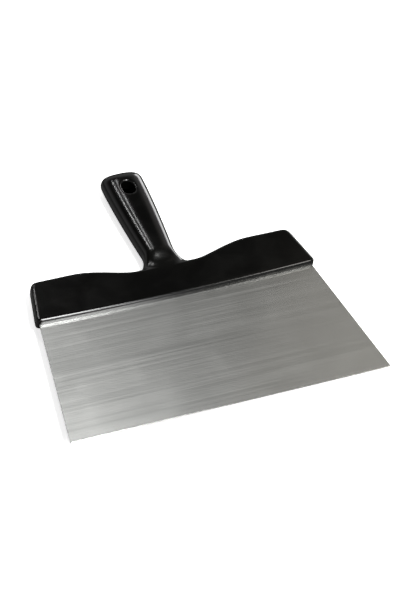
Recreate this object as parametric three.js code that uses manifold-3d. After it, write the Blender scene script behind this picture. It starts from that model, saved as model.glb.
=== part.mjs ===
// Wide flat scraper: a thin steel blade, flared towards its cutting edge, held between the two
// halves of a moulded plastic handle. The handle is a low wing over the blade's root with a straight
// grip behind it, and a hang hole goes through the grip near its tip. Hidden pins lock the blade.
//
// Millimetres, +Z up. X runs across the blade, and Y from the cutting edge to the tip of the grip.
// While the pieces are drawn, Y = 0 is where the blade's sides enter the wing and Z = 0 is the middle
// of the blade's thickness. The finished group stands its lowest point on Z = 0, centred in X and Y.
import * as THREE from "three";
import { ParametricGeometry } from "three/addons/geometries/ParametricGeometry.js";
import { mergeVertices } from "three/addons/utils/BufferGeometryUtils.js";
import Module from "manifold-3d";

// Blade
const bladeEdgeWidth = 280; // along the cutting edge
const bladeRootWidth = 244.5; // where the sides enter the wing
const bladeReach = 120.5; // from the wing to the cutting edge
const bladeThickness = 0.8;
const tangCover = 4.5; // plastic between the hidden end of the tang and the dips in the wing
const tangShoulder = 6; // how far each side of the tang steps in
const shoulderInset = 3; // from Y = 0 to that step

// Wing
const wingOverhang = 4; // beyond the blade's root at each end
const wingThickness = 11;
const wingDepth = 41.5; // from Y = 0 to the straight rear edge of each shoulder
const wingEndTaper = 0.222; // how much each end leans in, per millimetre of depth
const wingFrontBow = 2.5; // the front edge swells towards the blade by this much in the middle
const wingEdgeRadius = 2.2;
const frontCornerRadius = 5;
const rearCornerRadius = 6;
const dipDepth = 30.5; // from Y = 0 to the lowest point of the rear edge, beside the grip
const dipRun = 54; // along X, from that lowest point to the straight shoulder
const shoulderEase = 0.4; // share of that run over which the edge leaves the shoulder gently
const dipEase = 0.24; // share over which it settles into the lowest point

// Grip
const neckFilletLength = 17.5; // along Y, from the dips to the narrowest place
const neckFilletSpread = 11.7; // along X, from the side of the neck to the dips
const neckWidth = 28.6;
const neckThickness = 18;
const tipY = 140.4;
const tipWidth = 37.4;
const tipThickness = 20;
const fullWidthLength = 15.4; // the last stretch before the tip, which has the full width
const swellPower = 1.6;
const tipRounding = 12; // length of the rounded tip
const crownFootGap = 1.5; // the grip's crown runs out into the flat wing this far behind the dips
const gripSquareness = 2.5; // exponent of the oval section
const footSquareness = 6; // the same where the grip runs into the wing
const tipPlanPower = 3.4; // roundness of the tip seen from above
const tipSidePower = 2.2; // roundness of the tip seen from the side

// Hang hole
const hangHoleSetback = 22.2; // from the tip to the middle of the hole
const hangHoleWidth = 11.6;
const hangHoleLength = 14.6;

// Inside of the mouldings
const wall = 3;
const spineThickness = 3;
const crossRibThickness = 2;
const crossRibPitch = 19;
const spigotDiameter = 4.4;
const spigotHeight = 4;
const spigotBossDiameter = 10;

// Pins through the tang
const pinCount = 6;
const pinDiameter = 4;
const pinCover = 1.8; // plastic left over each end of a pin
const pinEndMargin = 14; // from the tang's corner to the outer pins

// Fits
const touchGap = 0.3; // between pieces that touch
const pinFit = 0.3; // round each pin, in the blade and in the shells
const spigotFit = 0.3;

// Faceting
const gripSides = 48;
const gripSteps = 20;
const footSteps = 9;
const tipSteps = 9;
const curveSteps = 14;
const edgeSteps = 3;
const roundSides = 20;

// Sizes that follow from the ones above
const wingHalf = wingThickness / 2;
const frontHalfWidth = bladeRootWidth / 2 + wingOverhang;
const rearHalfWidth = frontHalfWidth - wingEndTaper * wingDepth;
const bladeFlare = (bladeEdgeWidth - bladeRootWidth) / 2 / bladeReach;
const tangHalfWidth = bladeRootWidth / 2 - bladeFlare * shoulderInset - tangShoulder;
const pinLength = wingThickness - 2 * pinCover;
const tangDepth = dipDepth - tangCover;
const pinY = (shoulderInset + tangDepth) / 2;
const dipX = neckWidth / 2 + neckFilletSpread;
const shoulderStart = dipX + dipRun;
const neckY = dipDepth + neckFilletLength;
const crownFoot = dipDepth + crownFootGap;
const swellEnd = tipY - fullWidthLength;
const hangHoleY = tipY - hangHoleSetback;
const tipStart = tipY - tipRounding;
const gripRoot = dipDepth - 3 * wingEdgeRadius; // buried in the wing
const mouthY = -2 * wingFrontBow - 1; // clear of the wing's front edge
const farAway = 4 * (bladeEdgeWidth + bladeReach + tipY);

const wasm = await Module();
wasm.setup();

const black = { color: 0x0f0f10, roughness: 0.32, metalness: 0 };
const steel = { color: 0xb9babb, roughness: 0.3, metalness: 1 };
const zinc = { color: 0x9a9da0, roughness: 0.45, metalness: 1 };

// A closed three.js geometry as a manifold solid.
function solid(geometry) {
  const bare = geometry.index ? geometry.toNonIndexed() : geometry.clone();
  bare.deleteAttribute("normal");
  bare.deleteAttribute("uv");
  const merged = mergeVertices(bare, 1e-4);
  const corners = merged.index.array;
  const kept = [];
  for (let i = 0; i < corners.length; i += 3) {
    const [a, b, c] = corners.slice(i, i + 3);
    if (a !== b && b !== c && c !== a) kept.push(a, b, c);
  }
  return new wasm.Manifold(
    new wasm.Mesh({
      numProp: 3,
      vertProperties: merged.attributes.position.array,
      triVerts: new Uint32Array(kept),
    }),
  );
}

// A manifold solid as a named three.js mesh.
function piece(name, shape, finish) {
  const mesh = shape.getMesh();
  const geometry = new THREE.BufferGeometry();
  geometry.setAttribute("position", new THREE.Float32BufferAttribute(mesh.vertProperties, 3));
  geometry.setIndex(new THREE.Uint32BufferAttribute(mesh.triVerts, 1));
  geometry.computeVertexNormals();
  const result = new THREE.Mesh(geometry, new THREE.MeshStandardMaterial(finish));
  result.name = name;
  return result;
}

// A flat outline pulled up evenly about Z = 0.
function slab(outline, thickness) {
  const geometry = new THREE.ExtrudeGeometry(outline, {
    depth: thickness,
    bevelEnabled: false,
    curveSegments: curveSteps,
  });
  return solid(geometry.translate(0, 0, -thickness / 2));
}

function block(x0, x1, y0, y1, z0, z1) {
  const geometry = new THREE.BoxGeometry(x1 - x0, y1 - y0, z1 - z0);
  return solid(geometry.translate((x0 + x1) / 2, (y0 + y1) / 2, (z0 + z1) / 2));
}

// An upright round bar.
function bar(x, y, z0, z1, diameter) {
  const geometry = new THREE.CylinderGeometry(diameter / 2, diameter / 2, z1 - z0, roundSides);
  return solid(geometry.rotateX(Math.PI / 2).translate(x, y, (z0 + z1) / 2));
}

// A closed outline from its right half, given from front to rear.
function mirrored(rightHalf) {
  const leftHalf = rightHalf
    .filter((point) => point.x > 1e-6)
    .map((point) => new THREE.Vector2(-point.x, point.y))
    .reverse();
  return new THREE.Shape([...rightHalf, ...leftHalf]);
}

// The blade with its tang, grown by a clearance where it stands for the pocket it sits in.
function bladeOutline(grow, frontY) {
  const half = (y) => bladeRootWidth / 2 - bladeFlare * y + grow;
  const stepY = shoulderInset + grow;
  return mirrored([
    new THREE.Vector2(0, frontY),
    new THREE.Vector2(half(frontY), frontY),
    new THREE.Vector2(half(stepY), stepY),
    new THREE.Vector2(tangHalfWidth + grow, stepY),
    new THREE.Vector2(tangHalfWidth + grow, tangDepth + grow),
    new THREE.Vector2(0, tangDepth + grow),
  ]);
}

// The wing seen from above: a swelling front edge, leaning ends, straight shoulders and a dip
// on each side of the grip.
function wingOutline() {
  const along = new THREE.Vector2(rearHalfWidth - frontHalfWidth, wingDepth).normalize();
  const front = new THREE.Vector2(frontHalfWidth, 0);
  const rear = new THREE.Vector2(rearHalfWidth, wingDepth);
  const frontEnd = front.clone().addScaledVector(along, frontCornerRadius);
  const rearEnd = rear.clone().addScaledVector(along, -rearCornerRadius);
  const bowEnd = frontHalfWidth - frontCornerRadius;
  const bowAt = (x) => -wingFrontBow * (1 - (x / frontHalfWidth) ** 2);
  const half = new THREE.Path();
  half.moveTo(0, bowAt(0));
  half.quadraticCurveTo(bowEnd / 2, bowAt(0), bowEnd, bowAt(bowEnd));
  half.quadraticCurveTo(front.x, front.y, frontEnd.x, frontEnd.y);
  half.lineTo(rearEnd.x, rearEnd.y);
  half.quadraticCurveTo(rear.x, rear.y, rear.x - rearCornerRadius, rear.y);
  half.lineTo(shoulderStart, wingDepth);
  half.bezierCurveTo(
    shoulderStart - shoulderEase * dipRun, wingDepth,
    dipX + dipEase * dipRun, dipDepth,
    dipX, dipDepth,
  );
  half.lineTo(0, dipDepth);
  return mirrored(half.getPoints(curveSteps));
}

function wing() {
  const geometry = new THREE.ExtrudeGeometry(wingOutline(), {
    depth: wingThickness - 2 * wingEdgeRadius,
    bevelThickness: wingEdgeRadius,
    bevelSize: wingEdgeRadius,
    bevelOffset: -wingEdgeRadius,
    bevelSegments: edgeSteps,
  });
  return solid(geometry.translate(0, 0, wingEdgeRadius - wingHalf));
}

const smooth = (share) => share * share * (3 - 2 * share);
const clamp = (value) => Math.min(1, Math.max(0, value));

// Half width, half height and squareness of the grip's section at a place along it, pulled in
// by a wall where it stands for the hollow.
function gripSection(y, inset) {
  const swell = 1 - (1 - clamp((y - neckY) / (swellEnd - neckY))) ** swellPower;
  const intoFoot = clamp((neckY - y) / neckFilletLength);
  const spread = neckFilletSpread * (1 - Math.sqrt(1 - intoFoot ** 2));
  const crown = smooth(clamp((y - crownFoot) / (neckY - crownFoot)));
  const rounded = clamp((y - tipStart) / (tipRounding - inset));
  const halfWidth = neckWidth / 2 + ((tipWidth - neckWidth) / 2) * swell + spread;
  const bodyHalf = neckThickness / 2 + ((tipThickness - neckThickness) / 2) * swell;
  const halfHeight = wingHalf + (bodyHalf - wingHalf) * crown;
  return {
    width: (halfWidth - inset) * (1 - rounded ** tipPlanPower) ** (1 / tipPlanPower),
    height: (halfHeight - inset) * (1 - rounded ** tipSidePower) ** (1 / tipSidePower),
    squareness: gripSquareness + (footSquareness - gripSquareness) * (1 - crown),
  };
}

// A closed loft through the grip's sections at these places, ending in the rounded tip.
function gripLoft(places, inset) {
  const tip = Array.from({ length: tipSteps }, (_, i) => {
    const angle = (i / tipSteps) * (Math.PI / 2);
    return tipStart + (tipRounding - inset) * Math.sin(angle);
  });
  const stations = [...places, ...tip];
  const last = stations.length + 1;
  const surface = (around, along, target) => {
    const step = Math.round(along * last);
    if (step === 0) return target.set(0, stations[0], 0);
    if (step === last) return target.set(0, tipY - inset, 0);
    const y = stations[step - 1];
    const { width, height, squareness } = gripSection(y, inset);
    const bulge = (value) => Math.sign(value) * Math.abs(value) ** (2 / squareness);
    const angle = -around * 2 * Math.PI;
    return target.set(width * bulge(Math.cos(angle)), y, height * bulge(Math.sin(angle)));
  };
  return solid(new ParametricGeometry(surface, gripSides, last));
}

// Places along the grip between its neck and its tip.
const bodyPlaces = Array.from(
  { length: gripSteps },
  (_, i) => neckY + ((tipStart - neckY) * i) / gripSteps,
);

// Places where the grip spreads into the wing, closer together towards the wing.
const footPlaces = Array.from({ length: footSteps }, (_, i) => {
  const angle = ((footSteps - i) / footSteps) * (Math.PI / 2);
  return neckY - neckFilletLength * Math.sin(angle);
});

// A round-ended bar that fills the hang hole, grown where it stands for the wall round the hole.
function hangHole(grow) {
  const radius = hangHoleWidth / 2 + grow;
  const straight = (hangHoleLength - hangHoleWidth) / 2;
  const outline = new THREE.Shape();
  outline.absarc(0, hangHoleY + straight, radius, 0, Math.PI, false);
  outline.absarc(0, hangHoleY - straight, radius, Math.PI, 2 * Math.PI, false);
  return slab(outline, 2 * tipThickness);
}

const pinPlaces = Array.from({ length: pinCount }, (_, i) => {
  const outer = tangHalfWidth - pinEndMargin;
  return -outer + (2 * outer * i) / (pinCount - 1);
});

const ribPlaces = Array.from(
  { length: Math.floor((hangHoleY - hangHoleLength / 2 - neckY) / crossRibPitch) },
  (_, i) => neckY + (i + 1) * crossRibPitch,
);

const spigotPlaces = [ribPlaces[0], ribPlaces.at(-1)];

// What both shells are made of before they are parted: wing and grip in one, with the pocket for
// the blade, the sockets for the pins and the hang hole.
function handle() {
  const sockets = pinPlaces.map((x) =>
    bar(x, pinY, -pinLength / 2 - pinFit, pinLength / 2 + pinFit, pinDiameter + 2 * pinFit));
  const cuts = [
    slab(bladeOutline(touchGap, mouthY), bladeThickness + 2 * touchGap),
    hangHole(0),
    ...sockets,
  ];
  const whole = wing().add(gripLoft([gripRoot, ...footPlaces, ...bodyPlaces], 0));
  return cuts.reduce((rest, cut) => rest.subtract(cut), whole);
}

// The hollow in the grip, with the spine, the cross ribs, the spigot bosses and the wall round the
// hang hole left standing.
function hollow() {
  const reach = tipWidth;
  const ribs = ribPlaces.map((y) =>
    block(-reach, reach, y - crossRibThickness / 2, y + crossRibThickness / 2, -reach, reach));
  const bosses = spigotPlaces.map((y) => bar(0, y, -reach, reach, spigotBossDiameter));
  const spine = block(-spineThickness / 2, spineThickness / 2, 0, tipY, -reach, reach);
  return [spine, hangHole(wall), ...ribs, ...bosses].reduce(
    (rest, kept) => rest.subtract(kept),
    gripLoft(bodyPlaces, wall),
  );
}

function shells() {
  const body = handle().subtract(hollow());
  const above = block(-farAway, farAway, -farAway, farAway, touchGap / 2, farAway);
  const below = block(-farAway, farAway, -farAway, farAway, -farAway, -touchGap / 2);
  const spigotHole = (y) =>
    bar(0, y, -touchGap, spigotHeight + spigotFit, spigotDiameter + 2 * spigotFit);
  const spigot = (y) => bar(0, y, -spigotHeight, spigotHeight, spigotDiameter);
  const upper = spigotPlaces.reduce((rest, y) => rest.subtract(spigotHole(y)), body.intersect(above));
  const lower = spigotPlaces.reduce((rest, y) => rest.add(spigot(y)), body.intersect(below));
  return [
    piece("handle_upper_shell", upper, black),
    piece("handle_lower_shell", lower, black),
  ];
}

function blade() {
  const hole = (x) => bar(x, pinY, -bladeThickness, bladeThickness, pinDiameter + 2 * pinFit);
  const sheet = slab(bladeOutline(0, -bladeReach), bladeThickness);
  return piece("blade", pinPlaces.reduce((rest, x) => rest.subtract(hole(x)), sheet), steel);
}

function pins() {
  return pinPlaces.map((x, i) =>
    piece(`blade_pin_${i + 1}`, bar(x, pinY, -pinLength / 2, pinLength / 2, pinDiameter), zinc));
}

const scraper = new THREE.Group();
scraper.add(blade(), ...shells(), ...pins());
scraper.position.set(0, (bladeReach - tipY) / 2, Math.max(tipThickness, neckThickness) / 2);
export default scraper;
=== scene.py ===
import math

import bmesh
import bpy
from mathutils import Matrix, Vector
from mathutils.geometry import interpolate_bezier


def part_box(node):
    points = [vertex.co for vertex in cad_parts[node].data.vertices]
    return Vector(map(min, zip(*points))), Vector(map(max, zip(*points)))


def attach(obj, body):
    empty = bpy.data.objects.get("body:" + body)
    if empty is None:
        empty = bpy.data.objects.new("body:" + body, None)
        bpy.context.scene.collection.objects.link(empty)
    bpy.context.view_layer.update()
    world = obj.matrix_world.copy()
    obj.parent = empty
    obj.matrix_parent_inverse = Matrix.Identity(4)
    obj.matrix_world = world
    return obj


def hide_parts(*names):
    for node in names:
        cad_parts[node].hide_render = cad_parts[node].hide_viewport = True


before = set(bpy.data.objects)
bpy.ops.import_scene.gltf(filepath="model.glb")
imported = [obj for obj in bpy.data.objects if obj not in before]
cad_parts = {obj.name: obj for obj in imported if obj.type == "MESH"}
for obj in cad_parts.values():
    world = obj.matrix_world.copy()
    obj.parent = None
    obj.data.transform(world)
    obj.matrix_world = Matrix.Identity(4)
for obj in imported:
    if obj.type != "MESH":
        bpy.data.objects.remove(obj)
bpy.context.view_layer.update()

# The scraper is drawn in metres about the blade's root: y = 0 is where the blade enters the wing
# and z = 0 the middle of its thickness. place() then moves a finished mesh into the frame.
mm = 0.001
scene = bpy.context.scene

fits = {
    "frontBow": 2.5 * mm,  # how far the wing's front edge swells towards the blade
    "slit": 0.06 * mm,  # round the blade and the pins
    "seam": 0.04 * mm,  # half of the hairline between the two mouldings
}

handleLow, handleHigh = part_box("handle_upper_shell")
bladeLow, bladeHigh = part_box("blade")
pinLow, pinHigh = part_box("blade_pin_1")
rootY = handleLow.y + fits["frontBow"]
midZ = (bladeLow.z + bladeHigh.z) / 2


def link(name, data):
    piece = bpy.data.objects.new(name, data)
    scene.collection.objects.link(piece)
    return piece


def fromBmesh(name, bm):
    mesh = bpy.data.meshes.new(name)
    bm.to_mesh(mesh)
    bm.free()
    return link(name, mesh)


def place(piece):  # into the frame; the copied mesh carries no old bounds
    moved = piece.data.copy()
    moved.transform(Matrix.Translation((0, rootY, midZ)))
    moved.update()
    piece.data = moved
    bpy.context.view_layer.update()
    return piece


def bake(piece):  # the modifiers' result becomes the plain mesh
    seen = piece.evaluated_get(bpy.context.evaluated_depsgraph_get())
    mesh = bpy.data.meshes.new_from_object(seen)
    piece.modifiers.clear()
    piece.data = mesh
    return piece


def cut(piece, cutter):
    difference = piece.modifiers.new("cut", "BOOLEAN")
    difference.operation = "DIFFERENCE"
    difference.solver = "EXACT"
    difference.object = cutter
    bake(piece)
    bpy.data.objects.remove(cutter)


def curvePoints(start, startHandle, endHandle, end, steps):
    points = interpolate_bezier(start, startHandle, endHandle, end, steps + 1)
    return [point.xy for point in points[1:]]


def cornerPoints(start, corner, end, steps):  # a quadratic curve that a corner pulls
    start, corner, end = (Vector((*point, 0)) for point in (start, corner, end))
    toCorner = 2 / 3
    return curvePoints(start, start.lerp(corner, toCorner), end.lerp(corner, toCorner), end, steps)


def mirrored(rightHalf):  # a closed outline from its right half, given from front to rear
    leftHalf = [Vector((-point.x, point.y)) for point in reversed(rightHalf) if point.x > 1e-7]
    return rightHalf + leftHalf


def insetOutline(outline, inset):
    moved = []
    for i, point in enumerate(outline):
        before = (point - outline[i - 1]).normalized()
        after = (outline[(i + 1) % len(outline)] - point).normalized()
        normal = Vector((-before.y - after.y, before.x + after.x)).normalized()
        stretch = max(0.5, normal.dot(Vector((-after.y, after.x))))
        moved.append(point + normal * inset / stretch)
    return moved


def stackedOutlines(name, outline, rows):  # rows are (inset, height) from the bottom up
    bm = bmesh.new()
    rings = [
        [bm.verts.new((*point, z)) for point in insetOutline(outline, inset)] for inset, z in rows
    ]
    for lower, upper in zip(rings, rings[1:]):
        for i in range(len(outline)):
            j = (i + 1) % len(outline)
            bm.faces.new((lower[i], lower[j], upper[j], upper[i]))
    bm.faces.new(list(reversed(rings[0])))
    bm.faces.new(rings[-1])
    return fromBmesh(name, bm)


def roundedRows(halfThickness, radius, steps):
    arc = [math.pi / 2 * i / steps for i in range(steps + 1)]
    upper = [(radius * (1 - math.cos(a)), halfThickness - radius * (1 - math.sin(a))) for a in arc]
    return [(inset, -z) for inset, z in reversed(upper)] + upper


blade = {
    "rootWidth": 244.5 * mm,
    "cornerRadius": 0.9 * mm,
    "cornerSteps": 6,
    "edgeRadius": 0.12 * mm,
    "edgeSteps": 3,
    "tangStep": 6 * mm,  # how far the tang stands in from the blade's sides
    "shoulderInset": 3 * mm,  # how deep inside the wing that step lies
}


def bladeOutline(grow, frontY):
    edgeHalf = (bladeHigh.x - bladeLow.x) / 2
    reach = rootY - bladeLow.y
    rootHalf = blade["rootWidth"] / 2
    flare = (edgeHalf - rootHalf) / reach
    tangEnd = bladeHigh.y - rootY
    stepY = blade["shoulderInset"]
    tangHalf = rootHalf - flare * stepY - blade["tangStep"]
    corner = Vector((rootHalf - flare * frontY, frontY))
    alongSide = Vector((-flare, 1)).normalized() * blade["cornerRadius"]
    cornerStart = corner - Vector((blade["cornerRadius"], 0))
    half = [Vector((0, frontY)), cornerStart]
    half += cornerPoints(cornerStart, corner, corner + alongSide, blade["cornerSteps"])
    half += [
        Vector((rootHalf - flare * stepY, stepY)),
        Vector((tangHalf, stepY)),
        Vector((tangHalf, tangEnd)),
        Vector((0, tangEnd)),
    ]
    return insetOutline(mirrored(half), -grow)


def makeBlade():
    halfThickness = (bladeHigh.z - bladeLow.z) / 2
    rows = roundedRows(halfThickness, blade["edgeRadius"], blade["edgeSteps"])
    sheet = stackedOutlines("steelBlade", bladeOutline(0, bladeLow.y - rootY), rows)
    for x in pinPlaces():
        cut(sheet, pinBar(x, 2 * halfThickness, fits["slit"]))
    brushUv(sheet)
    return sheet


def brushUv(piece):  # U runs across the brushing, so that the tangent does too
    layer = piece.data.uv_layers.new(name="brushing")
    for loop in piece.data.loops:
        point = piece.data.vertices[loop.vertex_index].co
        layer.data[loop.index].uv = (point.y, -point.x)


wing = {
    "endTaper": 0.222,  # how far the ends lean in for each length to the rear
    "edgeRadius": 2.2 * mm,
    "edgeSteps": 8,
    "frontCorner": 5 * mm,
    "rearCorner": 6 * mm,
    "thickness": 11 * mm,
    "depth": 41.5 * mm,
    "dipDepth": 30.5 * mm,
    "dipRun": 54 * mm,
    "shoulderEase": 0.4,  # shares of that run over which the edge bends gently
    "dipEase": 0.24,
    "bowSteps": 60,
    "cornerSteps": 10,
    "dipSteps": 40,
}

grip = {
    "neckWidth": 28.6 * mm,
    "neckThickness": 18 * mm,
    "neckFilletLength": 17.5 * mm,
    "neckFilletSpread": 11.7 * mm,
    "tipWidth": 37.4 * mm,
    "fullWidthLength": 15.4 * mm,
    "swellPower": 1.6,
    "tipRounding": 12 * mm,
    "crownFootGap": 1.5 * mm,
    "squareness": 2.5,
    "footSquareness": 2.4,
    "tipPlanPower": 3.4,
    "tipSidePower": 2.2,
    "sides": 129,
    "stations": 301,
}

hangHole = {
    "setback": 22.2 * mm,
    "width": 11.6 * mm,
    "length": 14.6 * mm,
    "rimRadius": 1.6 * mm,
    "rimSteps": 8,
    "turnSteps": 32,
}

moulding = {
    "voxel": 0.62 * mm,
    "smoothing": 7,
    "flash": 0.16 * mm,  # how proud the parting line stands
    "sharpAngle": 50,
}


def wingOutline():
    frontHalf = (handleHigh.x - handleLow.x) / 2
    depth = wing["depth"]
    front = Vector((frontHalf, 0))
    rear = Vector((frontHalf - wing["endTaper"] * depth, depth))
    along = (rear - front).normalized()
    bowEnd = frontHalf - wing["frontCorner"]

    def bowAt(x):
        return -fits["frontBow"] * (1 - (x / frontHalf) ** 2)

    bowStop = Vector((bowEnd, bowAt(bowEnd)))
    frontEnd = front + along * wing["frontCorner"]
    rearStart = rear - along * wing["rearCorner"]
    rearStop = Vector((rear.x - wing["rearCorner"], depth))
    dipX = grip["neckWidth"] / 2 + grip["neckFilletSpread"]
    shoulder = Vector((dipX + wing["dipRun"], depth, 0))
    dip = Vector((dipX, wing["dipDepth"], 0))
    half = [Vector((0, bowAt(0)))]
    half += cornerPoints(half[0], Vector((bowEnd / 2, bowAt(0))), bowStop, wing["bowSteps"])
    half += cornerPoints(bowStop, front, frontEnd, wing["cornerSteps"])
    half += [rearStart]
    half += cornerPoints(rearStart, rear, rearStop, wing["cornerSteps"])
    half += [shoulder.xy]
    half += curvePoints(
        shoulder,
        shoulder - Vector((wing["shoulderEase"] * wing["dipRun"], 0, 0)),
        dip + Vector((wing["dipEase"] * wing["dipRun"], 0, 0)),
        dip,
        wing["dipSteps"],
    )
    half += [Vector((0, wing["dipDepth"]))]
    return mirrored(half)


def makeWing():
    rows = roundedRows(wing["thickness"] / 2, wing["edgeRadius"], wing["edgeSteps"])
    return stackedOutlines("wingBody", wingOutline(), rows)


class Formula:  # builds arithmetic out of Math nodes
    def __init__(self, tree):
        self.tree = tree

    def op(self, operation, *values):
        node = self.tree.nodes.new("ShaderNodeMath")
        node.operation = operation
        for socket, value in zip(node.inputs, values):
            if isinstance(value, (int, float)):
                socket.default_value = value
            else:
                self.tree.links.new(value, socket)
        return node.outputs[0]

    def add(self, a, b):
        return self.op("ADD", a, b)

    def sub(self, a, b):
        return self.op("SUBTRACT", a, b)

    def mul(self, a, b):
        return self.op("MULTIPLY", a, b)

    def div(self, a, b):
        return self.op("DIVIDE", a, b)

    def power(self, a, b):
        return self.op("POWER", a, b)

    def share(self, value, start, end):  # 0 at start and 1 at end, held outside them
        held = self.div(self.sub(value, start), self.sub(end, start))
        return self.op("MINIMUM", self.op("MAXIMUM", held, 0.0), 1.0)

    def mix(self, a, b, share):
        return self.add(a, self.mul(self.sub(b, a), share))

    def rounding(self, share, exponent):  # 1 at share 0, down to 0 at share 1
        return self.power(self.sub(1.0, self.power(share, exponent)), self.div(1.0, exponent))

    def bulge(self, value, squareness):
        size = self.power(self.op("ABSOLUTE", value), self.div(2.0, squareness))
        return self.mul(self.op("SIGN", value), size)


def newTree(name, sizes):
    tree = bpy.data.node_groups.new(name, "GeometryNodeTree")
    tree.interface.new_socket("Geometry", in_out="OUTPUT", socket_type="NodeSocketGeometry")
    for key, value in sizes.items():
        kind = "NodeSocketInt" if isinstance(value, int) else "NodeSocketFloat"
        tree.interface.new_socket(key, in_out="INPUT", socket_type=kind)
    tree.interface.new_socket("Material", in_out="INPUT", socket_type="NodeSocketMaterial")
    return tree, tree.nodes.new("NodeGroupInput"), tree.nodes.new("NodeGroupOutput")


def endTree(tree, given, result, geometry):
    realize = tree.nodes.new("GeometryNodeRealizeInstances")
    paint = tree.nodes.new("GeometryNodeSetMaterial")
    tree.links.new(geometry, realize.inputs["Geometry"])
    tree.links.new(realize.outputs[0], paint.inputs["Geometry"])
    tree.links.new(given.outputs["Material"], paint.inputs["Material"])
    tree.links.new(paint.outputs[0], result.inputs[0])


def runTree(name, tree, sizes, material=None):
    piece = link(name, bpy.data.meshes.new(name))
    modifier = piece.modifiers.new("shape", "NODES")
    modifier.node_group = tree
    values = {**sizes, "Material": material}
    for item in tree.interface.items_tree:
        if item.in_out == "INPUT" and values[item.name] is not None:
            modifier[item.identifier] = values[item.name]
    return bake(piece)


def gripTree(sizes):
    tree, given, result = newTree("gripLoft", sizes)
    f = Formula(tree)
    at = given.outputs
    grid = tree.nodes.new("GeometryNodeMeshGrid")
    grid.inputs["Size X"].default_value = 1.0
    grid.inputs["Size Y"].default_value = 1.0
    tree.links.new(at["sides"], grid.inputs["Vertices X"])
    tree.links.new(at["stations"], grid.inputs["Vertices Y"])
    split = tree.nodes.new("ShaderNodeSeparateXYZ")
    tree.links.new(tree.nodes.new("GeometryNodeInputPosition").outputs[0], split.inputs[0])
    turn = f.mul(f.add(split.outputs["X"], 0.5), -2 * math.pi)
    along = f.add(split.outputs["Y"], 0.5)

    # place along the grip: even up to the rounded tip, then closing in on the pole
    tipStart = f.sub(at["tipY"], at["tipRounding"])
    bodyShare = 0.75  # of the stations
    inBody = f.share(along, 0.0, bodyShare)
    inTip = f.share(along, bodyShare, 1.0)
    intoTip = f.op("SINE", f.mul(inTip, math.pi / 2))
    y = f.add(f.mix(at["rootY"], tipStart, inBody), f.mul(at["tipRounding"], intoTip))

    # half width and half height there
    neckHalf = f.mul(at["neckWidth"], 0.5)
    swellEnd = f.sub(at["tipY"], at["fullWidthLength"])
    shareOut = f.sub(1.0, f.share(y, at["neckY"], swellEnd))
    swell = f.sub(1.0, f.power(shareOut, at["swellPower"]))
    intoFoot = f.share(y, at["neckY"], f.sub(at["neckY"], at["neckFilletLength"]))
    arc = f.op("SQRT", f.sub(1.0, f.mul(intoFoot, intoFoot)))
    spread = f.mul(at["neckFilletSpread"], f.sub(1.0, arc))
    crownShare = f.share(y, at["crownFoot"], at["neckY"])
    crown = f.mul(f.mul(crownShare, crownShare), f.sub(3.0, f.mul(2.0, crownShare)))
    swelled = f.mix(neckHalf, f.mul(at["tipWidth"], 0.5), swell)
    bodyHalf = f.mul(f.mix(at["neckThickness"], at["tipThickness"], swell), 0.5)
    halfHeight = f.mix(f.mul(at["wingThickness"], 0.5), bodyHalf, crown)
    width = f.mul(f.add(swelled, spread), f.rounding(intoTip, at["tipPlanPower"]))
    height = f.mul(halfHeight, f.rounding(intoTip, at["tipSidePower"]))
    squareness = f.mix(at["footSquareness"], at["squareness"], crown)

    # the oval section, shut at both ends
    inside = f.op("GREATER_THAN", along, 1e-6)
    point = tree.nodes.new("ShaderNodeCombineXYZ")
    across = f.mul(width, f.bulge(f.op("COSINE", turn), squareness))
    upward = f.mul(height, f.bulge(f.op("SINE", turn), squareness))
    tree.links.new(f.mul(across, inside), point.inputs["X"])
    tree.links.new(y, point.inputs["Y"])
    tree.links.new(f.mul(upward, inside), point.inputs["Z"])
    move = tree.nodes.new("GeometryNodeSetPosition")
    merge = tree.nodes.new("GeometryNodeMergeByDistance")
    merge.inputs["Distance"].default_value = 1e-6
    tree.links.new(grid.outputs["Mesh"], move.inputs["Geometry"])
    tree.links.new(point.outputs[0], move.inputs["Position"])
    tree.links.new(move.outputs[0], merge.inputs["Geometry"])
    endTree(tree, given, result, merge.outputs[0])
    return tree


def makeGrip():
    dip = wing["dipDepth"]
    sizes = {key: value for key, value in grip.items() if key != "crownFootGap"}
    sizes.update(
        tipY=handleHigh.y - rootY,
        tipThickness=2 * (handleHigh.z - midZ),
        wingThickness=wing["thickness"],
        neckY=dip + grip["neckFilletLength"],
        crownFoot=dip + grip["crownFootGap"],
        rootY=dip - 3 * wing["edgeRadius"],  # well inside the wing
    )
    return runTree("gripBody", gripTree(sizes), sizes)


def hangHoleOutline():
    centreY = handleHigh.y - rootY - hangHole["setback"]
    radius = hangHole["width"] / 2
    straight = (hangHole["length"] - hangHole["width"]) / 2
    steps = hangHole["turnSteps"]
    turn = [math.pi * i / steps for i in range(steps + 1)]
    rear = [Vector((radius * math.cos(a), centreY + straight + radius * math.sin(a))) for a in turn]
    front = [Vector((-point.x, 2 * centreY - point.y)) for point in rear]
    return rear + front


def hangHoleCutter():  # a straight bore whose mouths flare into rounded rims
    top = handleHigh.z - midZ
    rim = hangHole["rimRadius"]
    steps = hangHole["rimSteps"]
    arc = [math.pi / 2 * i / steps for i in range(steps + 1)]
    mouth = [(-rim * (1 - math.cos(a)), top - rim * (1 - math.sin(a))) for a in arc]
    mouth.append((-rim, 2 * top))
    rows = [(inset, -z) for inset, z in reversed(mouth)] + mouth
    return stackedOutlines("hangHoleCutter", hangHoleOutline(), rows)


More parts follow.
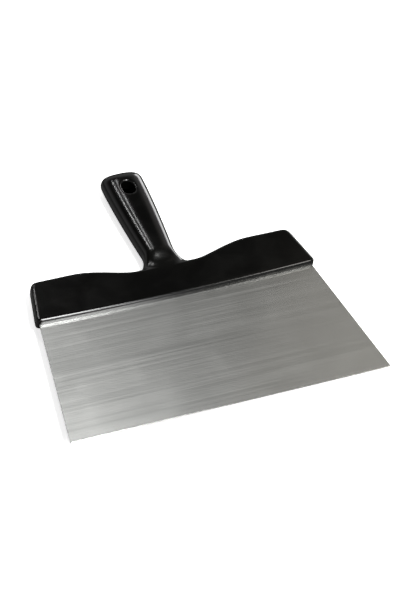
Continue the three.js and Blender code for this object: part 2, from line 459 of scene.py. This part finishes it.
def makeHandleBody():
    body = makeGrip()
    cut(body, hangHoleCutter())
    wingBody = makeWing()
    joined = bmesh.new()
    joined.from_mesh(body.data)
    joined.from_mesh(wingBody.data)
    bpy.data.objects.remove(wingBody)
    bpy.data.objects.remove(body)
    whole = fromBmesh("handleBody", joined)
    remesh = whole.modifiers.new("remesh", "REMESH")
    remesh.mode = "VOXEL"
    remesh.voxel_size = moulding["voxel"]
    smooth = whole.modifiers.new("smooth", "SMOOTH")
    smooth.factor = 0.5
    smooth.iterations = moulding["smoothing"]
    return bake(whole)


def halfOf(whole, name, side):  # side is 1 for the upper moulding and -1 for the lower one
    bm = bmesh.new()
    bm.from_mesh(whole.data)
    level = Vector((0, 0, side * fits["seam"]))
    geometry = bm.verts[:] + bm.edges[:] + bm.faces[:]
    bmesh.ops.bisect_plane(
        bm, geom=geometry, dist=1e-7, plane_co=level, plane_no=(0, 0, -side), clear_outer=True
    )
    rim = [edge for edge in bm.edges if edge.is_boundary]
    for vert in {vert for edge in rim for vert in edge.verts}:
        outward = Vector((vert.normal.x, vert.normal.y, 0)).normalized()
        vert.co += outward * moulding["flash"]
    bmesh.ops.holes_fill(bm, edges=rim)
    bmesh.ops.recalc_face_normals(bm, faces=bm.faces)
    half = fromBmesh(name, bm)
    halfThickness = (bladeHigh.z - bladeLow.z) / 2 + fits["slit"]
    mouthY = -2 * fits["frontBow"] - 1 * mm  # clear of the wing's front edge
    pocket = bladeOutline(fits["slit"], mouthY)
    cut(half, stackedOutlines("pocket", pocket, [(0, -halfThickness), (0, halfThickness)]))
    for x in pinPlaces():
        cut(half, pinBar(x, pinHigh.z - pinLow.z + 2 * fits["slit"], fits["slit"]))
    half.data.set_sharp_from_angle(angle=math.radians(moulding["sharpAngle"]))
    return half


pins = {
    "count": 6,
    "sides": 49,
    "chamfer": 0.4 * mm,
    "socketSides": 32,
    "sharpAngle": 30,
}


def pinPlaces():
    first = (pinLow.x + pinHigh.x) / 2
    return [first * (1 - 2 * i / (pins["count"] - 1)) for i in range(pins["count"])]


def pinBar(x, length, grow):  # cuts the holes that the pins go through
    bm = bmesh.new()
    radius = (pinHigh.x - pinLow.x) / 2 + grow
    bmesh.ops.create_cone(
        bm,
        cap_ends=True,
        segments=pins["socketSides"],
        radius1=radius,
        radius2=radius,
        depth=length,
    )
    bmesh.ops.translate(bm, verts=bm.verts, vec=(x, (pinLow.y + pinHigh.y) / 2 - rootY, 0))
    return fromBmesh("pinBar", bm)


def pinTree(sizes):
    tree, given, result = newTree("pinRow", sizes)
    f = Formula(tree)
    at = given.outputs
    grid = tree.nodes.new("GeometryNodeMeshGrid")
    grid.inputs["Size X"].default_value = 1.0
    grid.inputs["Size Y"].default_value = 5.0
    grid.inputs["Vertices Y"].default_value = 6
    tree.links.new(at["sides"], grid.inputs["Vertices X"])
    split = tree.nodes.new("ShaderNodeSeparateXYZ")
    tree.links.new(tree.nodes.new("GeometryNodeInputPosition").outputs[0], split.inputs[0])
    turn = f.mul(split.outputs["X"], 2 * math.pi)
    row = split.outputs["Y"]

    # six rings from end to end: pole, end face, chamfer, chamfer, end face, pole
    fromMiddle = f.op("ABSOLUTE", row)
    inShaft = f.op("LESS_THAN", fromMiddle, 1.0)
    inFace = f.op("LESS_THAN", fromMiddle, 2.0)
    flat = f.sub(f.mul(at["diameter"], 0.5), f.mul(at["chamfer"], f.sub(1.0, inShaft)))
    radius = f.mul(flat, inFace)
    halfLength = f.sub(f.mul(at["length"], 0.5), f.mul(at["chamfer"], inShaft))
    point = tree.nodes.new("ShaderNodeCombineXYZ")
    tree.links.new(f.mul(radius, f.op("COSINE", turn)), point.inputs["X"])
    tree.links.new(f.mul(radius, f.op("SINE", turn)), point.inputs["Y"])
    tree.links.new(f.mul(f.op("SIGN", row), halfLength), point.inputs["Z"])
    move = tree.nodes.new("GeometryNodeSetPosition")
    merge = tree.nodes.new("GeometryNodeMergeByDistance")
    merge.inputs["Distance"].default_value = 1e-6
    tree.links.new(grid.outputs["Mesh"], move.inputs["Geometry"])
    tree.links.new(point.outputs[0], move.inputs["Position"])
    tree.links.new(move.outputs[0], merge.inputs["Geometry"])

    # one pin at each point of an even row
    start = tree.nodes.new("ShaderNodeCombineXYZ")
    tree.links.new(at["firstX"], start.inputs["X"])
    tree.links.new(at["rowY"], start.inputs["Y"])
    step = tree.nodes.new("ShaderNodeCombineXYZ")
    spans = f.sub(at["count"], 1.0)
    tree.links.new(f.div(f.mul(at["firstX"], -2.0), spans), step.inputs["X"])
    line = tree.nodes.new("GeometryNodeMeshLine")
    tree.links.new(at["count"], line.inputs["Count"])
    tree.links.new(start.outputs[0], line.inputs["Start Location"])
    tree.links.new(step.outputs[0], line.inputs["Offset"])
    spread = tree.nodes.new("GeometryNodeInstanceOnPoints")
    tree.links.new(line.outputs["Mesh"], spread.inputs["Points"])
    tree.links.new(merge.outputs[0], spread.inputs["Instance"])
    endTree(tree, given, result, spread.outputs[0])
    return tree


def makePins(material):
    sizes = {
        "count": pins["count"],
        "sides": pins["sides"],
        "chamfer": pins["chamfer"],
        "diameter": pinHigh.x - pinLow.x,
        "length": pinHigh.z - pinLow.z,
        "firstX": pinPlaces()[0],
        "rowY": (pinLow.y + pinHigh.y) / 2 - rootY,
    }
    row = runTree("bladePins", pinTree(sizes), sizes, material)
    row.data.set_sharp_from_angle(angle=math.radians(pins["sharpAngle"]))
    return row


shot = {
    "lens": 147.592,
    "azimuth": -30.407,
    "elevation": 47.849,
    "roll": 10.924,
    "distance": 2.0344,
    "aim": (0.015244, -0.021023),
}


def makeCamera():
    camera = link("camera", bpy.data.cameras.new("camera"))
    camera.data.lens = shot["lens"]
    camera.data.sensor_width = 36
    camera.data.dof.use_dof = False
    camera.data.clip_start = 0.1
    camera.data.clip_end = 30
    azimuth, elevation, roll = (math.radians(shot[key]) for key in ("azimuth", "elevation", "roll"))
    back = Vector((
        math.sin(azimuth) * math.cos(elevation),
        -math.cos(azimuth) * math.cos(elevation),
        math.sin(elevation),
    ))
    target = Vector((*shot["aim"], midZ))
    turn = (-back).to_track_quat("-Z", "Y").to_matrix() @ Matrix.Rotation(roll, 3, "Z")
    camera.matrix_world = Matrix.Translation(target + back * shot["distance"]) @ turn.to_4x4()
    scene.camera = camera


def areaLight(name, at, aim, size, power, colour):
    data = bpy.data.lights.new(name, "AREA")
    data.shape = "RECTANGLE"
    data.size, data.size_y = size
    data.energy = power
    data.color = colour
    light = link(name, data)
    light.location = at
    light.rotation_mode = "QUATERNION"
    light.rotation_quaternion = (Vector(aim) - Vector(at)).to_track_quat("-Z", "Y")
    return light


floorLook = {
    "reach": 8,
    "roughness": 0.9,
    "paint": (0.86, 0.86, 0.85, 1),
    "dimmed": (0.2, 0.2, 0.2, 1),  # how pale the floor looks to reflections
    "glow": 0.72,  # only the camera sees it
}


def makeFloor():
    bm = bmesh.new()
    bmesh.ops.create_grid(bm, x_segments=1, y_segments=1, size=floorLook["reach"])
    floor = fromBmesh("floor", bm)
    material = bpy.data.materials.new("paleFloor")
    material.use_nodes = True
    nodes, links = material.node_tree.nodes, material.node_tree.links
    shader = nodes["Principled BSDF"]
    shader.inputs["Roughness"].default_value = floorLook["roughness"]
    shader.inputs["Specular IOR Level"].default_value = 0.0
    shader.inputs["Emission Color"].default_value = (1, 1, 1, 1)
    path = nodes.new("ShaderNodeLightPath")
    shade = nodes.new("ShaderNodeMix")
    shade.data_type = "RGBA"
    shade.inputs["A"].default_value = floorLook["dimmed"]
    shade.inputs["B"].default_value = floorLook["paint"]
    glow = nodes.new("ShaderNodeMath")
    glow.operation = "MULTIPLY"
    glow.inputs[1].default_value = floorLook["glow"]
    links.new(path.outputs["Is Camera Ray"], shade.inputs["Factor"])
    links.new(shade.outputs["Result"], shader.inputs["Base Color"])
    links.new(path.outputs["Is Camera Ray"], glow.inputs[0])
    links.new(glow.outputs[0], shader.inputs["Emission Strength"])
    floor.data.materials.append(material)


studio = {
    "zenithGlow": 0.03,
    "wallGlow": 0.6,
    "wallEnd": 0.66,  # the sine of the height up to which the walls glow
    "lamps": {  # at, aimed at, size, power, colour
        "overheadLeft": ((0.205, -0.36, 1.2), (0.205, -0.36, 0), (0.16, 0.8), 17, (0.99, 1.0, 0.985)),
        "overheadRight": ((0.66, -0.36, 1.2), (0.66, -0.36, 0), (0.15, 0.7), 4.2, (1.0, 0.98, 0.92)),
        "warmSide": ((1.0, 0.8, 1.2), (0, 0, 0), (0.6, 0.8), 0.3, (1.0, 0.93, 0.8)),
        "frontTop": ((0.25, -0.95, 0.85), (0.075, 0, 0), (0.25, 0.5), 7.0, (1, 1, 1)),
        "backStripLeft": ((-0.16, 0.9, 1.27), (0, 0, 0), (0.025, 0.5), 2.2, (1, 1, 1)),
        "backStripRight": ((0.13, 0.9, 1.27), (0, 0, 0), (0.04, 0.5), 1.3, (1, 1, 1)),
        "backCard": ((1.45, 1.05, 0.32), (0, 0, 0), (1.2, 0.5), 15, (1, 1, 1)),
    },
}


def makeLight():
    world = bpy.data.worlds.new("studio")
    world.use_nodes = True
    nodes, links = world.node_tree.nodes, world.node_tree.links
    path = nodes.new("ShaderNodeLightPath")
    split = nodes.new("ShaderNodeSeparateXYZ")
    links.new(nodes.new("ShaderNodeNewGeometry").outputs["Incoming"], split.inputs[0])
    f = Formula(world.node_tree)
    climb = f.share(f.mul(split.outputs["Z"], -1.0), 0.0, studio["wallEnd"])
    onWall = f.op("SINE", f.mul(climb, math.pi))
    room = f.mix(studio["zenithGlow"], studio["wallGlow"], onWall)
    level = nodes.new("ShaderNodeMapRange")
    level.inputs["To Max"].default_value = 1.0
    links.new(path.outputs["Is Camera Ray"], level.inputs["Value"])
    links.new(room, level.inputs["To Min"])
    links.new(level.outputs["Result"], nodes["Background"].inputs["Strength"])
    nodes["Background"].inputs["Color"].default_value = (1, 1, 1, 1)
    scene.world = world
    for name, lamp in studio["lamps"].items():
        areaLight(name, *lamp)


def newGroup(name, inputs, outputs):
    tree = bpy.data.node_groups.new(name, "ShaderNodeTree")
    for key, value in inputs.items():
        kind = "NodeSocketVector" if value is None else "NodeSocketFloat"
        socket = tree.interface.new_socket(key, in_out="INPUT", socket_type=kind)
        if value is not None:
            socket.default_value = value
    for key in outputs:
        tree.interface.new_socket(key, in_out="OUTPUT", socket_type="NodeSocketFloat")
    return tree, tree.nodes.new("NodeGroupInput"), tree.nodes.new("NodeGroupOutput")


def noiseValue(tree, vector, scale, detail, roughness=0.5, distortion=0.0):
    noise = tree.nodes.new("ShaderNodeTexNoise")
    noise.inputs["Detail"].default_value = detail
    noise.inputs["Roughness"].default_value = roughness
    noise.inputs["Distortion"].default_value = distortion
    tree.links.new(vector, noise.inputs["Vector"])
    if isinstance(scale, (int, float)):
        noise.inputs["Scale"].default_value = scale
    else:
        tree.links.new(scale, noise.inputs["Scale"])
    return noise.outputs["Fac"]


def remap(tree, value, fromLow, fromHigh, low, high):
    node = tree.nodes.new("ShaderNodeMapRange")
    for key, given in (
        ("Value", value), ("From Min", fromLow), ("From Max", fromHigh), ("To Min", low), ("To Max", high)
    ):
        if isinstance(given, (int, float)):
            node.inputs[key].default_value = given
        else:
            tree.links.new(given, node.inputs[key])
    return node.outputs["Result"]


def brushedLines():  # long fine scratches along X, and the broader streaks between them
    tree, given, result = newGroup(
        "brushedLines", {"Vector": None, "Scratches": 1700.0, "Length": 6.0}, ["Fine", "Broad"]
    )
    f = Formula(tree)
    split = tree.nodes.new("ShaderNodeSeparateXYZ")
    tree.links.new(given.outputs["Vector"], split.inputs[0])
    outputs = []
    for share, detail in ((1.0, 3.0), (0.5, 2.0)):
        point = tree.nodes.new("ShaderNodeCombineXYZ")
        across = f.mul(given.outputs["Scratches"], share)
        tree.links.new(f.mul(split.outputs["X"], given.outputs["Length"]), point.inputs["X"])
        tree.links.new(f.mul(split.outputs["Y"], across), point.inputs["Y"])
        tree.links.new(f.mul(split.outputs["Z"], across), point.inputs["Z"])
        outputs.append(noiseValue(tree, point.outputs[0], 1.0, detail, 0.6))
    tree.links.new(outputs[0], result.inputs["Fine"])
    tree.links.new(outputs[1], result.inputs["Broad"])
    return tree


def handlingMarks():  # faint cloudy patches that fingers and wiping leave
    tree, given, result = newGroup("handlingMarks", {"Vector": None, "Scale": 30.0}, ["Mask"])
    cloudy = noiseValue(tree, given.outputs["Vector"], given.outputs["Scale"], 4.0, 0.55, 0.6)
    tree.links.new(remap(tree, cloudy, 0.42, 0.68, 0.0, 1.0), result.inputs["Mask"])
    return tree


def useGroup(material, group, vector, **values):
    node = material.node_tree.nodes.new("ShaderNodeGroup")
    node.node_tree = group
    material.node_tree.links.new(vector, node.inputs["Vector"])
    for key, value in values.items():
        node.inputs[key].default_value = value
    return node


def newMaterial(name):
    material = bpy.data.materials.new(name)
    material.use_nodes = True
    tree = material.node_tree
    where = tree.nodes.new("ShaderNodeTexCoord").outputs["Object"]
    return material, tree, tree.nodes["Principled BSDF"], where


def bumpInto(tree, shader, height, distance, strength):
    bump = tree.nodes.new("ShaderNodeBump")
    bump.inputs["Distance"].default_value = distance
    bump.inputs["Strength"].default_value = strength
    tree.links.new(height, bump.inputs["Height"])
    tree.links.new(bump.outputs["Normal"], shader.inputs["Normal"])


def mixColour(tree, share, low, high):
    mix = tree.nodes.new("ShaderNodeMix")
    mix.data_type = "RGBA"
    mix.inputs["A"].default_value = (*low, 1)
    mix.inputs["B"].default_value = (*high, 1)
    tree.links.new(share, mix.inputs["Factor"])
    return mix.outputs["Result"]


steelLook = {
    "dark": (0.56, 0.565, 0.552),
    "pale": (0.63, 0.63, 0.618),
    "smooth": 0.222,
    "rough": 0.262,
    "anisotropy": 0.8,
    "sheen": 0.45,
    "sheenRoughness": 0.06,
    "sheenIor": 2.2,
    "marks": 22.0,
    "markHaze": 0.012,
    "fineShare": 0.6,
    "relief": 0.00001,
    "reliefStrength": 0.07,
}


def steelMaterial(lines, marks):
    material, tree, shader, where = newMaterial("brushedSteel")
    grain = useGroup(material, lines, where)
    touched = useGroup(material, marks, where, Scale=steelLook["marks"])
    f = Formula(tree)
    fine = f.mul(grain.outputs["Fine"], steelLook["fineShare"])
    mixed = f.add(fine, f.mul(grain.outputs["Broad"], 1 - steelLook["fineShare"]))
    even = remap(tree, mixed, 0.3, 0.7, 0.0, 1.0)
    paint = mixColour(tree, even, steelLook["dark"], steelLook["pale"])
    tree.links.new(paint, shader.inputs["Base Color"])
    brushed = remap(tree, mixed, 0.32, 0.68, steelLook["smooth"], steelLook["rough"])
    hazed = f.add(brushed, f.mul(touched.outputs["Mask"], steelLook["markHaze"]))
    tree.links.new(hazed, shader.inputs["Roughness"])
    shader.inputs["Metallic"].default_value = 1.0
    shader.inputs["Anisotropic"].default_value = steelLook["anisotropy"]
    shader.inputs["Coat Weight"].default_value = steelLook["sheen"]
    shader.inputs["Coat Roughness"].default_value = steelLook["sheenRoughness"]
    shader.inputs["Coat IOR"].default_value = steelLook["sheenIor"]
    tangent = tree.nodes.new("ShaderNodeTangent")
    tangent.direction_type = "UV_MAP"
    tangent.uv_map = "brushing"
    tree.links.new(tangent.outputs[0], shader.inputs["Tangent"])
    bumpInto(tree, shader, mixed, steelLook["relief"], steelLook["reliefStrength"])
    return material


pinLook = {
    "dark": (0.38, 0.38, 0.38),
    "pale": (0.5, 0.5, 0.49),
    "smooth": 0.22,
    "rough": 0.36,
    "scratches": 4000.0,
    "length": 200.0,
    "relief": 0.00001,
    "reliefStrength": 0.2,
}


def pinMaterial(lines):
    material, tree, shader, where = newMaterial("pinSteel")
    drawn = useGroup(
        material, lines, where, Scratches=pinLook["scratches"], Length=pinLook["length"]
    )
    even = remap(tree, drawn.outputs["Fine"], 0.35, 0.65, 0.0, 1.0)
    paint = mixColour(tree, even, pinLook["dark"], pinLook["pale"])
    tree.links.new(paint, shader.inputs["Base Color"])
    hazed = remap(tree, drawn.outputs["Broad"], 0.3, 0.7, pinLook["smooth"], pinLook["rough"])
    tree.links.new(hazed, shader.inputs["Roughness"])
    shader.inputs["Metallic"].default_value = 1.0
    bumpInto(tree, shader, drawn.outputs["Fine"], pinLook["relief"], pinLook["reliefStrength"])
    return material


plasticLook = {
    "dark": (0.0013, 0.0013, 0.0012),
    "pale": (0.0022, 0.0022, 0.0020),
    "glossy": 0.125,
    "dull": 0.16,
    "shine": 0.38,
    "marks": 38.0,
    "grain": 1400.0,
    "grainHaze": 0.03,
    "relief": 0.00002,
    "reliefStrength": 0.04,
}


def plasticMaterial(marks):
    material, tree, shader, where = newMaterial("blackPlastic")
    touched = useGroup(material, marks, where, Scale=plasticLook["marks"])
    fine = noiseValue(tree, where, plasticLook["grain"], 2.0)
    f = Formula(tree)
    worn = touched.outputs["Mask"]
    paint = mixColour(tree, worn, plasticLook["dark"], plasticLook["pale"])
    tree.links.new(paint, shader.inputs["Base Color"])
    hazed = remap(tree, worn, 0.0, 1.0, plasticLook["glossy"], plasticLook["dull"])
    tree.links.new(f.add(hazed, f.mul(fine, plasticLook["grainHaze"])), shader.inputs["Roughness"])
    shader.inputs["IOR"].default_value = 1.5
    shader.inputs["Specular IOR Level"].default_value = plasticLook["shine"]
    bumpInto(tree, shader, fine, plasticLook["relief"], plasticLook["reliefStrength"])
    return material


makeCamera()
makeFloor()
makeLight()
scene.view_settings.view_transform = "Standard"

lines, marks = brushedLines(), handlingMarks()
steel = steelMaterial(lines, marks)
plastic = plasticMaterial(marks)
pinSteel = pinMaterial(lines)
print("camera, floor, light and materials done")

sheet = place(makeBlade())
sheet.data.materials.append(steel)
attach(sheet, "root")
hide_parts("blade")
print("blade done", len(sheet.data.polygons))

whole = makeHandleBody()
print("handle body", len(whole.data.polygons))
for name, side, node in (
    ("upperMoulding", 1, "handle_upper_shell"), ("lowerMoulding", -1, "handle_lower_shell")
):
    half = place(halfOf(whole, name, side))
    half.data.materials.clear()
    half.data.materials.append(plastic)
    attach(half, "root")
    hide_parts(node)
    print(name, len(half.data.polygons))
bpy.data.objects.remove(whole)

row = place(makePins(pinSteel))
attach(row, "root")
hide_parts(*(f"blade_pin_{i + 1}" for i in range(pins["count"])))
print("pins done", len(row.data.polygons))
